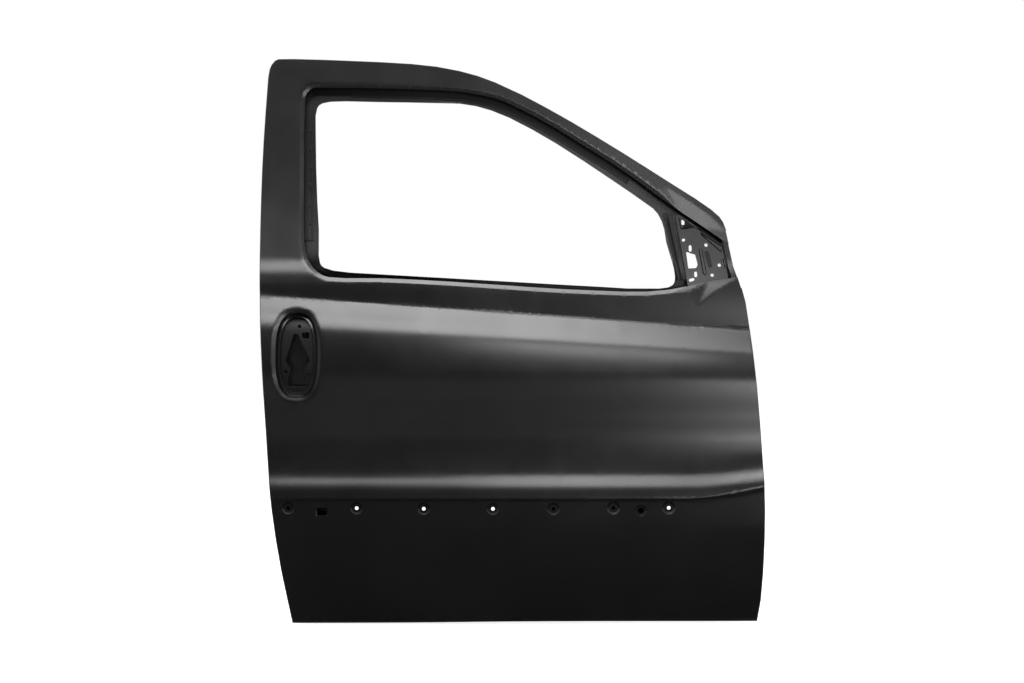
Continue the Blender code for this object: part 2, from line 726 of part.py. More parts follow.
def between(run, shares, axis):
    """The points of a run whose place along the axis lies between two shares of the door."""
    size = (DOOR_WIDTH, DOOR_HEIGHT)[axis]
    return [p for p in run if shares[0] < p[axis] / size < shares[1]]


def beside(run, side):
    return inset(run, side, closed=False) if side else run


REAR_RUN = [p for p in between(LIP_RUN, REAR_CHANNEL_SHARES, 1) if p.x < REAR_CHANNEL_SIDE_SHARE * DOOR_WIDTH]
HEADER_RUN = [p for p in between(LIP_RUN, HEADER_SHARES, 0) if p.y > LIP_RUN[-1].y]
DIVISION_FOOT = at(DIVISION_FOOT_SHARES) - Vector((DIVISION_WEB + DIVISION_CLEAR, 0))
DIVISION_RUN = [at(DIVISION_TOP_SHARES), DIVISION_FOOT]
LEG_FRONT = LIP_RETURN + SEAT_GAP
LEG_BACK = FRAME_DEPTH - FACET_GAP
WINDOW_SECTION = ((LEG_START, LEG_FRONT), (WEB_SIDE, LEG_FRONT), (WEB_SIDE, LEG_BACK), (-REVEAL, LEG_BACK))
DIVISION_SECTION = (
    (0, LEG_FRONT), (DIVISION_WEB, LEG_FRONT), (DIVISION_WEB, LEG_BACK), (-DIVISION_REVEAL, LEG_BACK)
)
CLEAR_LOOP = joined(run_of(CLEAR_SHARES))[::-1]
BELT_BACK = BELT_RUN[BELT_END_TRIM_COUNT:-BELT_END_TRIM_COUNT]


def sail_loop(margin=0.0):
    """The mirror corner's outline, moved in by the margin."""
    return rounded(inset([at(share) for share in SAIL_PLATE_SHARES], margin), SAIL_RADIUS)


def service_holes():
    """The inner panel's big holes, each with the raised bead round it."""
    radii = (SPEAKER_RADIUS, SPEAKER_RADIUS + BEAD_WIDTH)
    speaker = [circle(at(SPEAKER_SHARES), radius, SPEAKER_POINTS) for radius in radii]
    made = [speaker]
    for shares in SERVICE_SHARES:
        hole = rounded([at(share) for share in shares], SERVICE_CORNER)
        made.append([hole, inset(hole, -BEAD_WIDTH)])
    return made


def seat_lines():
    """Lines of the inner panel that its channels and reinforcements sit along, so that the facets agree."""
    lines = [beside(run, side) for run in (REAR_RUN, HEADER_RUN) for side in (WEB_SIDE, -REVEAL)]
    lines += [beside(DIVISION_RUN, side) for side in (DIVISION_WEB, -DIVISION_REVEAL)]
    lines += [beside(BELT_BACK, side) for side in INNER_BELT]
    return lines


def inner_panel(finish):
    sheet = Stamping()
    flange = behind(skin, SHEET + FLANGE_GAP)
    foot = lifted(WALL, flange)
    rim = lifted(WALL, inner_face)
    holes = [lifted(CLEAR_LOOP, inner_face), lifted(sail_loop(SAIL_HOLE_MARGIN), inner_face)]
    loops, shut = [lifted(sail_loop(), inner_face)], [sail_loop()]
    for hole, bead in service_holes():
        loops.append(lifted(bead, inner_face))
        holes.append(lifted(hole, inner_face, -BEAD_HEIGHT))
        shut.append(bead)
    for ends in SWAGE_SHARES:
        loops += swage(ends, SWAGE_WIDTH, SWAGE_RAMP, inner_face, SWAGE_HEIGHT)
        shut.append(slot_loop(ends, SWAGE_WIDTH))
    lines = [lifted(line, inner_face) for line in seat_lines()]
    sheet.fill(rim, inner_face, PANEL_GRID, holes, loops, shut, lines)
    sheet.strip(foot, rim, closed=True)
    sheet.strip(lifted(inset(EDGE, FLANGE_SETBACK), flange), foot, closed=True)
    sheet.strip(holes[0], lifted(CLEAR_LOOP, inner_face, -APERTURE_RETURN), closed=True)
    return sheet.solid("inner_panel", finish)


def channel(name, run, section, surface, finish, thickness=SHEET):
    """A rolled channel along a run. Each corner of its section is how far it lies to the left of the run, and
    how far behind the surface. The outer faces are drawn, and the sheet lies inside them."""
    sheet = Stamping()
    lines = [lifted(beside(run, side), surface, depth) for side, depth in section]
    for first, second in zip(lines, lines[1:]):
        sheet.strip(first, second)
    return sheet.solid(name, finish, thickness)


def linked(name, bm, finish=None):
    """A finished bmesh as an object. Without a finish it is a cutter, which stays out of the model."""
    bmesh.ops.recalc_face_normals(bm, faces=bm.faces)
    mesh = bpy.data.meshes.new(name)
    bm.to_mesh(mesh)
    bm.free()
    obj = bpy.data.objects.new(name, mesh)
    bpy.context.collection.objects.link(obj)
    if finish:
        mesh.materials.append(finish)
    else:
        obj.hide_render = True
        obj.display_type = "WIRE"
    return obj


def extrude_polygon(bm, corners, direction):
    """A prism from flat corners in space, along the direction."""
    base = [bm.verts.new(c) for c in corners]
    top = [bm.verts.new(Vector(c) + Vector(direction)) for c in corners]
    bm.faces.new(base)
    bm.faces.new(top)
    for i, corner in enumerate(base):
        k = (i + 1) % len(base)
        bm.faces.new((corner, base[k], top[k], top[i]))


def box_into(bm, low, high):
    (x0, y0, z0), (x1, y1, z1) = low, high
    extrude_polygon(bm, ((x0, y0, z0), (x1, y0, z0), (x1, y1, z0), (x0, y1, z0)), (0, 0, z1 - z0))


def ring_round(centre, axis, radius, points):
    """Points of a circle in space round the axis."""
    side = Vector(axis).orthogonal().normalized()
    up = Vector(axis).normalized().cross(side)
    turns = [2 * math.pi * i / points for i in range(points)]
    return [Vector(centre) + side * (math.cos(t) * radius) + up * (math.sin(t) * radius) for t in turns]


def tube_into(bm, start, end, outer, inner, points):
    """A pipe from start to end. With no inner radius it is a rod."""
    axis = Vector(end) - Vector(start)
    rings = []
    for centre, radius in ((start, outer), (end, outer), (end, inner), (start, inner)):
        if radius:
            rings.append([bm.verts.new(p) for p in ring_round(centre, axis, radius, points)])
    for a, b in zip(rings, rings[1:] + rings[:1] if inner else rings[1:]):
        for i in range(points):
            k = (i + 1) % points
            bm.faces.new((a[i], a[k], b[k], b[i]))
    if not inner:
        bm.faces.new(rings[0])
        bm.faces.new(rings[1])


def cut(obj, cutter):
    hole = obj.modifiers.new("holes", "BOOLEAN")
    hole.operation = "DIFFERENCE"
    hole.solver = "EXACT"
    hole.object = cutter


def joined_with(obj, other):
    """The other object joined into this one. It stays as a guide."""
    union = obj.modifiers.new("joined", "BOOLEAN")
    union.operation = "UNION"
    union.solver = "EXACT"
    union.object = other
    other.hide_render = True
    other.display_type = "WIRE"


def flat_through(shares, depth):
    """The plane through three places of the skin, moved in by the depth."""
    a, b, c = (Vector((at(s).x, skin(*at(s)), at(s).y)) for s in shares)
    normal = (b - a).cross(c - a)
    return lambda x, z: a.y + depth - (normal.x * (x - a.x) + normal.z * (z - a.z)) / normal.y


SAIL_FACE = flat_through((SAIL_PLATE_SHARES[0], SAIL_PLATE_SHARES[1], SAIL_PLATE_SHARES[3]), SAIL_DEPTH)
SAIL_BACK = behind(SAIL_FACE, SHEET + SEAT_GAP)
SAIL_NUT_SEAT = behind(SAIL_BACK, THICK_PLATE)
GRIP_FACE = offset_from(behind(skin, SHEET + SEAT_GAP), CUP_DEPTH)
PANEL_SEAT = offset_from(inner_face, -SEAT_GAP)
PLANE_SEAT = INNER_PLANE - SEAT_GAP


def sail_bolts(surface):
    return [lifted(circle(at(share), SAIL_BOLT_HOLE, BOLT_POINTS), surface) for share in SAIL_BOLT_SHARES]


def mirror_plate(finish):
    """The mirror's seat: a plate with a raised band along its top, a rib, and holes for bolts and clips."""
    sheet = Stamping()
    rim = lifted(sail_loop(), SAIL_FACE)
    band = rounded([at(share) for share in SAIL_BAND_SHARES], SLOT_RADIUS)
    loops = [lifted(band, SAIL_FACE), lifted(inset(band, SAIL_RAMP), SAIL_FACE, -SAIL_RAISE)]
    loops += swage(SAIL_RIB_SHARES, SAIL_RIB_WIDTH, SAIL_RAMP, SAIL_FACE, -SAIL_RAISE)
    openings = [rounded([at(share) for share in SAIL_OPENING_SHARES], SAIL_CORNER, FINE_CORNER_COUNT)]
    openings += [slot_loop(ends, SAIL_SLOT_WIDTH) for ends in SAIL_SLOT_SHARES]
    openings.append(slot_loop(SAIL_WIDE_SLOT_SHARES, SAIL_WIDE_SLOT))
    holes = [*sail_bolts(SAIL_FACE), *(lifted(loop, SAIL_FACE) for loop in openings)]
    holes.append(lifted(box_loop(at(SAIL_WINDOW_SHARES), *SAIL_WINDOW, SAIL_CORNER), SAIL_FACE, -SAIL_RAISE))
    sheet.fill(rim, SAIL_FACE, PANEL_GRID, holes, loops)
    sheet.strip(lifted(sail_loop(), PANEL_SEAT), rim, closed=True)
    return sheet.solid("mirror_plate", finish)


def mirror_reinforcement(finish):
    sheet = Stamping()
    rim = lifted(rounded([at(share) for share in SAIL_REINFORCEMENT_SHARES], SAIL_RADIUS), SAIL_BACK)
    sheet.fill(rim, SAIL_BACK, PANEL_GRID, sail_bolts(SAIL_BACK))
    return sheet.solid("mirror_reinforcement", finish, THICK_PLATE)


def handle_reinforcement(finish):
    """The plate behind the handle cup, with the lock's kite-shaped opening in its floor."""
    sheet = Stamping()
    seat, edge = CUP_INSETS[2:4]
    insets = (seat, edge, edge + GRIP_WALL)
    outline = [barrel(at(CUP_CENTRE_SHARES), CUP_WIDTH - 2 * w, CUP_HEIGHT - 2 * w) for w in insets]
    opening = [in_cup(share) for share in GRIP_CUT_SHARES]
    window = box_loop(in_cup(GRIP_WINDOW_SHARES), *GRIP_WINDOW, SLOT_RADIUS)
    screws = [circle(in_cup(share), GRIP_HOLE, BOLT_POINTS) for share in GRIP_HOLE_SHARES]
    holes = [lifted(loop, GRIP_FACE, GRIP_DROP) for loop in (opening, window, *screws)]
    loops = [lifted(outline[1], GRIP_FACE), lifted(outline[2], GRIP_FACE, GRIP_DROP)]
    sheet.fill(lifted(outline[0], GRIP_FACE), GRIP_FACE, PANEL_GRID, holes, loops, shut=[outline[0]])
    return sheet.solid("handle_reinforcement", finish)


def slotted_rear_channel(finish):
    made = channel("glass_channel_rear", REAR_RUN, WINDOW_SECTION, skin, finish)
    slots = bmesh.new()
    width, height = CHANNEL_SLOT
    low, high = REAR_RUN[0], REAR_RUN[-1]
    for i in range(SLOT_COUNT):
        middle = low.lerp(high, (i + 0.5) / SLOT_COUNT)
        x, z = middle.x + CHANNEL_SLOT_SIDE, middle.y
        y = skin(x, z) + LEG_BACK
        box_into(
            slots,
            (x - width / 2, y - OVERRUN, z - height / 2),
            (x + width / 2, y + OVERRUN, z + height / 2),
        )
    cut(made, linked("channel_slots", slots))
    return made


def belt_reinforcements(finish):
    top, foot = OUTER_BELT
    section = ((top, BELT_FLANGE), (top, 0), (foot, 0), (foot, BELT_FLANGE))
    channel("belt_reinforcement_outer", BELT_BACK, section, behind(skin, SHEET + 2 * SEAT_GAP), finish)
    top, foot = INNER_BELT
    section = ((-top, -BELT_FLANGE), (-top, 0), (-foot, 0), (-foot, -BELT_FLANGE))
    channel("belt_reinforcement_inner", BELT_BACK[::-1], section, PANEL_SEAT, finish)


def glass_guides(finish):
    section = ((0, -GUIDE_DEPTH), (WEB_SIDE, -GUIDE_DEPTH), (WEB_SIDE, 0), (-GUIDE_LIP, 0))
    for name, shares in (("glass_guide_rear", REAR_GUIDE_SHARES), ("glass_guide_front", FRONT_GUIDE_SHARES)):
        channel(name, [at(share) for share in shares], section, PANEL_SEAT, finish)


def corner_plate(name, face, side, height, centre, leg, depth, finish, bolts):
    """An L-shaped plate inside a shut face and along the inner panel. Side is the way out of the door."""
    x, y = face - side * SEAT_GAP, PLANE_SEAT
    t = THICK_PLATE
    near, far = x - side * t, x - side * leg
    outline = ((x, y - depth), (x, y), (far, y), (far, y - t), (near, y - t), (near, y - depth))
    bm = bmesh.new()
    low = centre - height / 2
    extrude_polygon(bm, [(px, py, low) for px, py in outline], (0, 0, height))
    made = linked(name, bm, finish)
    if bolts:
        cut(made, bolts)
    return made


def nut(name, seat, axis, finish):
    """A weld nut, which stands on its seat and points along the axis."""
    bm = bmesh.new()
    start = Vector(seat) + Vector(axis) * SEAT_GAP
    tube_into(bm, start, start + Vector(axis) * NUT_LENGTH, NUT_ACROSS, NUT_BORE, BOLT_POINTS)
    return linked(name, bm, finish)


def shut_face_plates(panel, steel, zinc):
    """Reinforcements behind the hinges, the door check and the latch, with their bolt holes and weld nuts."""
    places = []
    for word, share in zip(("lower", "upper"), HINGE_CENTRE_SHARES):
        for n, step in enumerate(HINGE_BOLT_STEPS, 1):
            z = share * DOOR_HEIGHT + step * HINGE_BOLT_PITCH
            places.append((f"weld_nut_hinge_{word}_{n}", HINGE_FACE, 1, HINGE_BOLT_Y, z))
    for n, step in enumerate(LATCH_BOLT_STEPS, 1):
        z = LATCH_CENTRE_SHARE * DOOR_HEIGHT + step * LATCH_BOLT_PITCH
        places.append((f"weld_nut_latch_{n}", LATCH_FACE, -1, LATCH_BOLT_Y, z))
    holes = bmesh.new()
    for name, face, side, y, z in places:
        reach = side * (THICK_PLATE + 2 * OVERRUN)
        tube_into(holes, (face - reach, y, z), (face + reach, y, z), BOLT_HOLE, 0, BOLT_POINTS)
        nut(name, (face - side * (SEAT_GAP + THICK_PLATE), y, z), (-side, 0, 0), zinc)
    bolts = linked("shut_face_bolts", holes)
    cut(panel, bolts)
    for word, share in zip(("lower", "upper"), HINGE_CENTRE_SHARES):
        name = f"hinge_reinforcement_{word}"
        centre = share * DOOR_HEIGHT
        corner_plate(name, HINGE_FACE, 1, HINGE_PLATE_HEIGHT, centre, HINGE_LEG, HINGE_DEPTH, steel, bolts)
    centre = CHECK_CENTRE_SHARE * DOOR_HEIGHT
    name = "check_reinforcement"
    corner_plate(name, HINGE_FACE, 1, CHECK_HEIGHT, centre, HINGE_LEG, HINGE_DEPTH, steel, None)
    centre = LATCH_CENTRE_SHARE * DOOR_HEIGHT
    name = "latch_reinforcement"
    corner_plate(name, LATCH_FACE, -1, LATCH_PLATE_HEIGHT, centre, LATCH_LEG, LATCH_DEPTH, steel, bolts)


def side_beam(steel, mastic):
    rear, front = (Vector((at(s).x, BEAM_Y, at(s).y)) for s in (BEAM_REAR_SHARES, BEAM_FRONT_SHARES))
    along = (front - rear).normalized()
    bm = bmesh.new()
    tube_into(bm, rear, front, BEAM_RADIUS, BEAM_RADIUS - BEAM_WALL, BEAM_POINTS)
    linked("side_impact_beam", bm, steel)
    inner = BEAM_RADIUS + SEAT_GAP
    for name, end, way in (("beam_bracket_rear", rear, 1), ("beam_bracket_front", front, -1)):
        middle = end + along * (way * COLLAR_LENGTH / 2)
        collar = bmesh.new()
        reach = along * (COLLAR_LENGTH / 2)
        tube_into(collar, middle - reach, middle + reach, inner + COLLAR_WALL, inner, BEAM_POINTS)
        plate = bmesh.new()
        half_x, half_z = BRACKET_HALF
        box_into(
            plate,
            (middle.x - half_x, PLANE_SEAT - THICK_PLATE, middle.z - half_z),
            (middle.x + half_x, PLANE_SEAT, middle.z + half_z),
        )
        web = bmesh.new()
        box_into(
            web,
            (middle.x - BRACKET_WEB / 2, BEAM_Y + inner + COLLAR_SINK, middle.z - THICK_PLATE),
            (middle.x + BRACKET_WEB / 2, PLANE_SEAT - BRACKET_SINK, middle.z + THICK_PLATE),
        )
        made = linked(name, plate, steel)
        joined_with(made, linked(f"{name}_web", web))
        joined_with(made, linked(f"{name}_collar", collar))
    for n, share in enumerate(PAD_SHARES, 1):
        place = rear.lerp(front, share)
        sides = (-PAD_RADIUS, PAD_RADIUS)
        near = max(skin(place.x + dx, place.z + dz) for dx in sides for dz in sides)
        pad = bmesh.new()
        start = (place.x, near + SHEET + 2 * SEAT_GAP, place.z)
        end = (place.x, BEAM_Y - BEAM_RADIUS - SEAT_GAP, place.z)
        tube_into(pad, start, end, PAD_RADIUS, 0, BOLT_POINTS)
        linked(f"mastic_pad_{n}", pad, mastic)


def rail_brackets(finish):
    t, half, y = THICK_PLATE, RAIL_WIDTH / 2, PLANE_SEAT
    for name, share in zip(("rail_bracket_rear", "rail_bracket_front"), RAIL_SHARES):
        centre = at(share)
        right = (
            (half + RAIL_FOOT, y), (half + RAIL_FOOT, y - t), (half + t, y - t), (half, y - RAIL_RISE),
            (half - t, y - RAIL_RISE + t), (half, y),
        )
        outer = right[:4]
        inner = right[4:]
        left = [(-x, py) for x, py in right]
        outline = [*outer, *reversed(left[:4]), *reversed(left[4:]), *inner]
        bm = bmesh.new()
        low = centre.y - RAIL_HEIGHT / 2
        extrude_polygon(bm, [(centre.x + x, py, low) for x, py in outline], (0, 0, RAIL_HEIGHT))
        linked(name, bm, finish)


def mirror_nuts(finish):
    for n, share in enumerate(SAIL_BOLT_SHARES, 1):
        p = at(share)
        nut(f"weld_nut_mirror_{n}", (p.x, SAIL_NUT_SEAT(*p), p.y), square_in(SAIL_FACE, *p), finish)


def build():
    for old in list(bpy.data.objects):
        bpy.data.objects.remove(old)
    primer, steel, zinc, mastic = (paint(name, *values) for name, *values in PAINTS)
    outer_panel(primer)
    panel = inner_panel(primer)
    channel("glass_channel_header", HEADER_RUN, WINDOW_SECTION, skin, steel)
    slotted_rear_channel(steel)
    channel("division_bar", DIVISION_RUN, DIVISION_SECTION, skin, steel)
    mirror_plate(primer)
    mirror_reinforcement(steel)
    mirror_nuts(zinc)
    handle_reinforcement(steel)
    belt_reinforcements(steel)
    glass_guides(steel)
    shut_face_plates(panel, steel, zinc)
    side_beam(steel, mastic)
    rail_brackets(steel)
    origin = bpy.data.objects.new("hinge_datum", None)
    bpy.context.collection.objects.link(origin)
    origin.location = (-HINGE_FACE - SHEET, -HINGE_BOLT_Y, -HINGE_CENTRE_SHARES[1] * DOOR_HEIGHT)
    for obj in bpy.context.collection.objects:
        if obj != origin:
            obj.parent = origin


build()
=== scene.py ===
# %% [markdown]
# # A bare front door shell in black electro-coat
#
# A car door leaves the press shop as a few dozen stampings. They are spot-welded and hemmed together, dipped
# in a bath of black primer, and sold like this as a repair part, before any glass, seal or trim goes in. The
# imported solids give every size. This lesson dresses them: smooth skins, satin coating, thin dust and light.

# %% The frame
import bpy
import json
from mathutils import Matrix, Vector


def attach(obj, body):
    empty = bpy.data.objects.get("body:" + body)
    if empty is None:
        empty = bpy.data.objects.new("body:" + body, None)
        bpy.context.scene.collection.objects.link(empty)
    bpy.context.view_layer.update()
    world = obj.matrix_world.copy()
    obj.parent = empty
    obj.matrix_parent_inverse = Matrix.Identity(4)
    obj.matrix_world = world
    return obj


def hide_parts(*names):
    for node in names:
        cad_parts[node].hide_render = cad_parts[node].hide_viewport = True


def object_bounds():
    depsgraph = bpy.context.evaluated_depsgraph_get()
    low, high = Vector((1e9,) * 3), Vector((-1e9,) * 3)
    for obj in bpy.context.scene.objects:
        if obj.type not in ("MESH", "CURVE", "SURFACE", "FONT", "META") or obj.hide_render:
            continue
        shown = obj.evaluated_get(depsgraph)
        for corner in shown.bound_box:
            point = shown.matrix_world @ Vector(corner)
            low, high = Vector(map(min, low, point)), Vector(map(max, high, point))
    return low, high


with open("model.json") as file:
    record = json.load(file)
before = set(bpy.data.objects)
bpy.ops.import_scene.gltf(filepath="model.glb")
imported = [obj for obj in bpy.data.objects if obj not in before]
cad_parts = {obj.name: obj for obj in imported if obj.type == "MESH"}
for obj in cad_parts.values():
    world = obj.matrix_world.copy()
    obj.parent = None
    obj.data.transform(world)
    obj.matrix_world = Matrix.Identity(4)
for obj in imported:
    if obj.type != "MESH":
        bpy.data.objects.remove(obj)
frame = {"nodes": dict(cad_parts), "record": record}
CAD_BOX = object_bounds()
print("nodes:", len(frame["nodes"]))

# %% Libraries
import json
import math

import bmesh
import bpy
import numpy as np
from mathutils import Vector

print("Blender:", bpy.app.version_string)

# %% [markdown]
# ## The door's own coordinates
#
# The door is drawn from its rear bottom corner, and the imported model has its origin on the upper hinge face.
# Lengths are in metres, and a place on the skin is a share of the door's width or height.

# %% Where the door stands
DOOR_WIDTH = 1.171
DOOR_HEIGHT = 1.317
HINGE_ALONG = 1.1228
HINGE_DEPTH = 0.078
HINGE_SHARE = 0.44
ORIGIN = np.array((HINGE_ALONG, HINGE_DEPTH, HINGE_SHARE * DOOR_HEIGHT))
print("door:", DOOR_WIDTH, "by", DOOR_HEIGHT, "m, hinge face at", ORIGIN)

# %% [markdown]
# ## The skin
#
# The skin of the real door is one smooth pressing, so its depth is a curve of the height: it swells from the
# sill to a sharp shoulder crease and leans in from there to the roof. A step runs over the sill trim and
# climbs near the front, and the crease falls towards the front. Each curve goes through a few stations, the
# same as in the solids: pairs of a share of the height and a share of the lean. Here the same curve turns
# facets into a smooth surface.

# %% The skin's own sizes
SKIN_LEAN = 0.150
PLAN_BOW = 0.014
BOW_CENTRE = 0.45
SILL = ((0, 0.31), (0.034, 0.245), (0.076, 0.175), (0.121, 0.115), (0.171, 0.055), (0.2155, 0.015))
BELLY = (
    (0.2215, 0), (0.24, 0.025), (0.266, 0.09), (0.319, 0.14), (0.364, 0.135),
    (0.411, 0.12), (0.444, 0.125), (0.494, 0.193), (0.52, 0.28), (0.543, 0.365),
)
UPPER = ((0.546, 0.368), (0.607, 0.40), (0.645, 0.49), (0.759, 0.69), (0.911, 0.893), (1, 1))
STEP = 0.2155
STEP_RISE = 0.021
STEP_RISE_START = 0.851
STEP_RISE_POWER = 1.5
CREASE = 0.543
CREASE_REAR = 0.578
CREASE_FRONT = 0.513
BLEND_LOW = 0.171
BLEND_MID = 0.30
BLEND_HIGH = 0.40
BLEND_BELT = 0.605
print("skin stations:", len(SILL) + len(BELLY) + len(UPPER))


# %% A smooth curve through stations
def hermite(run, s):
    """A smooth curve through the stations, read at every s."""
    x, y = np.array(run, float).T
    places = np.arange(len(x))
    before, after = np.maximum(places - 1, 0), np.minimum(places + 1, len(x) - 1)
    slopes = (y[after] - y[before]) / (x[after] - x[before])
    s = np.clip(s, x[0], x[-1])
    i = np.clip(np.searchsorted(x, s, side="right") - 1, 0, len(x) - 2)
    width = x[i + 1] - x[i]
    t = (s - x[i]) / width
    return (y[i] * (2 * t**3 - 3 * t**2 + 1) + y[i + 1] * (3 * t**2 - 2 * t**3)
            + width * (slopes[i] * (t**3 - 2 * t**2 + t) + slopes[i + 1] * (t**3 - t**2)))


print("lean at the middle of the belly:", round(float(hermite(BELLY, 0.4)), 3))


# %% The skin's depth
def drawn_height(up, real, drawn):
    """The height in the drawing that belongs to each real height, where the lines between rise and fall."""
    out = np.full(up.shape, drawn[-1], float)
    for k in range(len(drawn) - 1, 0, -1):
        t = np.clip((up - real[k - 1]) / (real[k] - real[k - 1]), 0, 1)
        out = np.where(up <= real[k], drawn[k - 1] + (drawn[k] - drawn[k - 1]) * t, out)
    return out


def skin(x, z):
    """Depth of the skin's outer face, for arrays of places on the door."""
    along, up = x / DOOR_WIDTH, z / DOOR_HEIGHT
    rise = np.clip((along - STEP_RISE_START) / (1 - STEP_RISE_START), 0, None)
    step = STEP + STEP_RISE * rise**STEP_RISE_POWER
    crease = CREASE_REAR + (CREASE_FRONT - CREASE_REAR) * along
    flat = np.zeros_like(up)
    real = [flat + line for line in (0, BLEND_LOW, step, BLEND_MID, BLEND_HIGH, crease, BLEND_BELT, 1)]
    s = drawn_height(up, real, (0, BLEND_LOW, STEP, BLEND_MID, BLEND_HIGH, CREASE, BLEND_BELT, 1))
    riser = SILL[-1][1] * (BELLY[0][0] - s) / (BELLY[0][0] - STEP)
    lean = np.select([s <= STEP, s < BELLY[0][0], s <= CREASE], [hermite(SILL, s), riser, hermite(BELLY, s)],
                     hermite(UPPER, s))
    return SKIN_LEAN * lean + PLAN_BOW * ((along - BOW_CENTRE) / (1 - BOW_CENTRE)) ** 2


top = skin(np.array([DOOR_WIDTH / 2]), np.array([DOOR_HEIGHT]))
print("depth of the skin at the roof:", round(float(top[0]), 4))

# %% [markdown]
# ## The inner panel's face
#
# The real inner panel is flat below the belt line, where the trim clips on, and follows the skin round the
# window, where the two sheets make the frame. Between the two it sweeps over in a soft ramp.

# %% The inner panel's depth
FRAME_DEPTH = 0.030
INNER_PLANE = 0.112
PLANE_TOP = 0.60
FRAME_FOOT = 0.655


def inner_face(x, z):
    """Depth of the inner panel: flat below the belt, and behind the skin round the window."""
    t = np.clip((z / DOOR_HEIGHT - PLANE_TOP) / (FRAME_FOOT - PLANE_TOP), 0, 1)
    t = t * t * (3 - 2 * t)
    return INNER_PLANE + (skin(x, z) + FRAME_DEPTH - INNER_PLANE) * t


print("inner panel's ramp:", round((FRAME_FOOT - PLANE_TOP) * DOOR_HEIGHT, 3), "m high")

# %% [markdown]
# ## Colours and nodes
#
# Colours are written as a screen shows them, and one function turns them to the linear values that a shader
# wants. One small function adds any node, with its settings and with what goes into its sockets, so that a
# finish reads as a short recipe.


# %% Two helpers
def colour(code):
    """A hex colour as written for a screen, in linear values."""
    parts = [int(code[i:i + 2], 16) / 255 for i in (0, 2, 4)]
    return (*[p / 12.92 if p <= 0.04045 else ((p + 0.055) / 1.055) ** 2.4 for p in parts], 1)


def node(tree, kind, inputs=(), **settings):
    """Adds a node and gives its outputs. An input is a socket with its value, or with what is plugged in."""
    made = tree.nodes.new(kind)
    for name, value in settings.items():
        setattr(made, name, value)
    for socket, value in inputs:
        if isinstance(value, bpy.types.NodeSocket):
            tree.links.new(value, made.inputs[socket])
        else:
            made.inputs[socket].default_value = value
    return made.outputs


print("black primer in linear values:", colour("0a0a0b"))

# %% [markdown]
# ## A thin coat on steel
#
# Electro-coat is a dipped primer, a few hundredths of a millimetre thick. It is black, and smoother than
# sprayed primer but never as glossy as paint: it has a faint orange peel, and on the shelf it takes on thin
# dust and handling marks. Noise on Object coordinates makes all of these, because dust and scuffs follow no
# seam or edge. The dust tints the colour, scuffs and handling marks change the gloss a little, and the orange
# peel is a bump. A Bevel node rounds the folds of thin strips, which catch light on the real sheet.

# %% The marks on the coat
DUST_CLOUD = 1 / 5  # 200 mm
HANDLING_MARK = 1 / 9  # 110 mm
SCUFF_WIDTH = 1 / 18  # 55 mm
SCUFF_HEIGHT = 1 / 12  # 85 mm
ORANGE_PEEL = 1 / 420  # 2.4 mm, coarser than real, so that it just shows in the render
DUST_FROM = 0.45
DUST_TO = 0.80
LEAST_WEAR = 0.7
MOST_WEAR = 1.3
GLOSSIER = 0.015
DULLER = 0.020
PEEL_HEIGHT = 0.001
BEVEL_SAMPLES = 8


def coated(name, base, dust, roughness, specular=0.5, metallic=0.0, peel=0.04, dust_amount=0.25, folds=0.0):
    """A thin coat on steel: clouds of dust, marks that change its gloss, orange peel and softened folds."""
    made = bpy.data.materials.new(name)
    made.use_nodes = True
    tree = made.node_tree
    shader = tree.nodes["Principled BSDF"].inputs
    where = node(tree, "ShaderNodeTexCoord")["Object"]
    stretch = (1, 1, SCUFF_WIDTH / SCUFF_HEIGHT)
    tall = node(tree, "ShaderNodeMapping", [("Vector", where), ("Scale", stretch)])["Vector"]
    clouds, scuffs, marks, bumps = (
        node(tree, "ShaderNodeTexNoise", [
            ("Vector", place), ("Scale", 1 / size), ("Detail", detail), ("Roughness", rough)])["Fac"]
        for place, size, detail, rough in (
            (where, DUST_CLOUD, 6, 0.6), (tall, SCUFF_WIDTH, 4, 0.6),
            (where, HANDLING_MARK, 3, 0.5), (where, ORANGE_PEEL, 2, 0.5)))
    cover = node(tree, "ShaderNodeMapRange", [
        ("Value", clouds), ("From Min", DUST_FROM), ("From Max", DUST_TO)])["Result"]
    share = node(tree, "ShaderNodeMath", [(0, cover), (1, dust_amount)], operation="MULTIPLY")[0]
    # a Mix node's sockets 6 and 7 take its two colours, and its output 2 gives the mixed one
    colours = [(0, share), (6, colour(base)), (7, colour(dust))]
    tree.links.new(node(tree, "ShaderNodeMix", colours, data_type="RGBA")[2], shader["Base Color"])
    wear = node(tree, "ShaderNodeMath", [(0, scuffs), (1, marks)], operation="ADD")[0]
    gloss = node(tree, "ShaderNodeMapRange", [
        ("Value", wear), ("From Min", LEAST_WEAR), ("From Max", MOST_WEAR),
        ("To Min", roughness - GLOSSIER), ("To Max", roughness + DULLER)])["Result"]
    tree.links.new(gloss, shader["Roughness"])
    shader["Specular IOR Level"].default_value = specular
    shader["Metallic"].default_value = metallic
    surface = [("Height", bumps), ("Strength", peel), ("Distance", PEEL_HEIGHT)]
    if folds:
        rounded = node(tree, "ShaderNodeBevel", [("Radius", folds)], samples=BEVEL_SAMPLES)["Normal"]
        surface.append(("Normal", rounded))
    tree.links.new(node(tree, "ShaderNodeBump", surface)["Normal"], shader["Normal"])
    return made


print("smallest mark:", round(ORANGE_PEEL * 1000, 1), "mm")

# %% The finishes
# Black electro-coat primer on the stampings that show: satin, nearly black, with soft-edged reflections
primer = coated("black_ecoat_satin", "0a0a0b", "3a3937", 0.25, peel=0.02, dust_amount=0.06)
# The same dip on hidden steel: it drains slowly there and dries duller, so that channels look deep
hidden = coated("black_ecoat_dull", "0c0c0d", "4a4844", 0.38, specular=0.2, dust_amount=0.06, folds=0.0012)
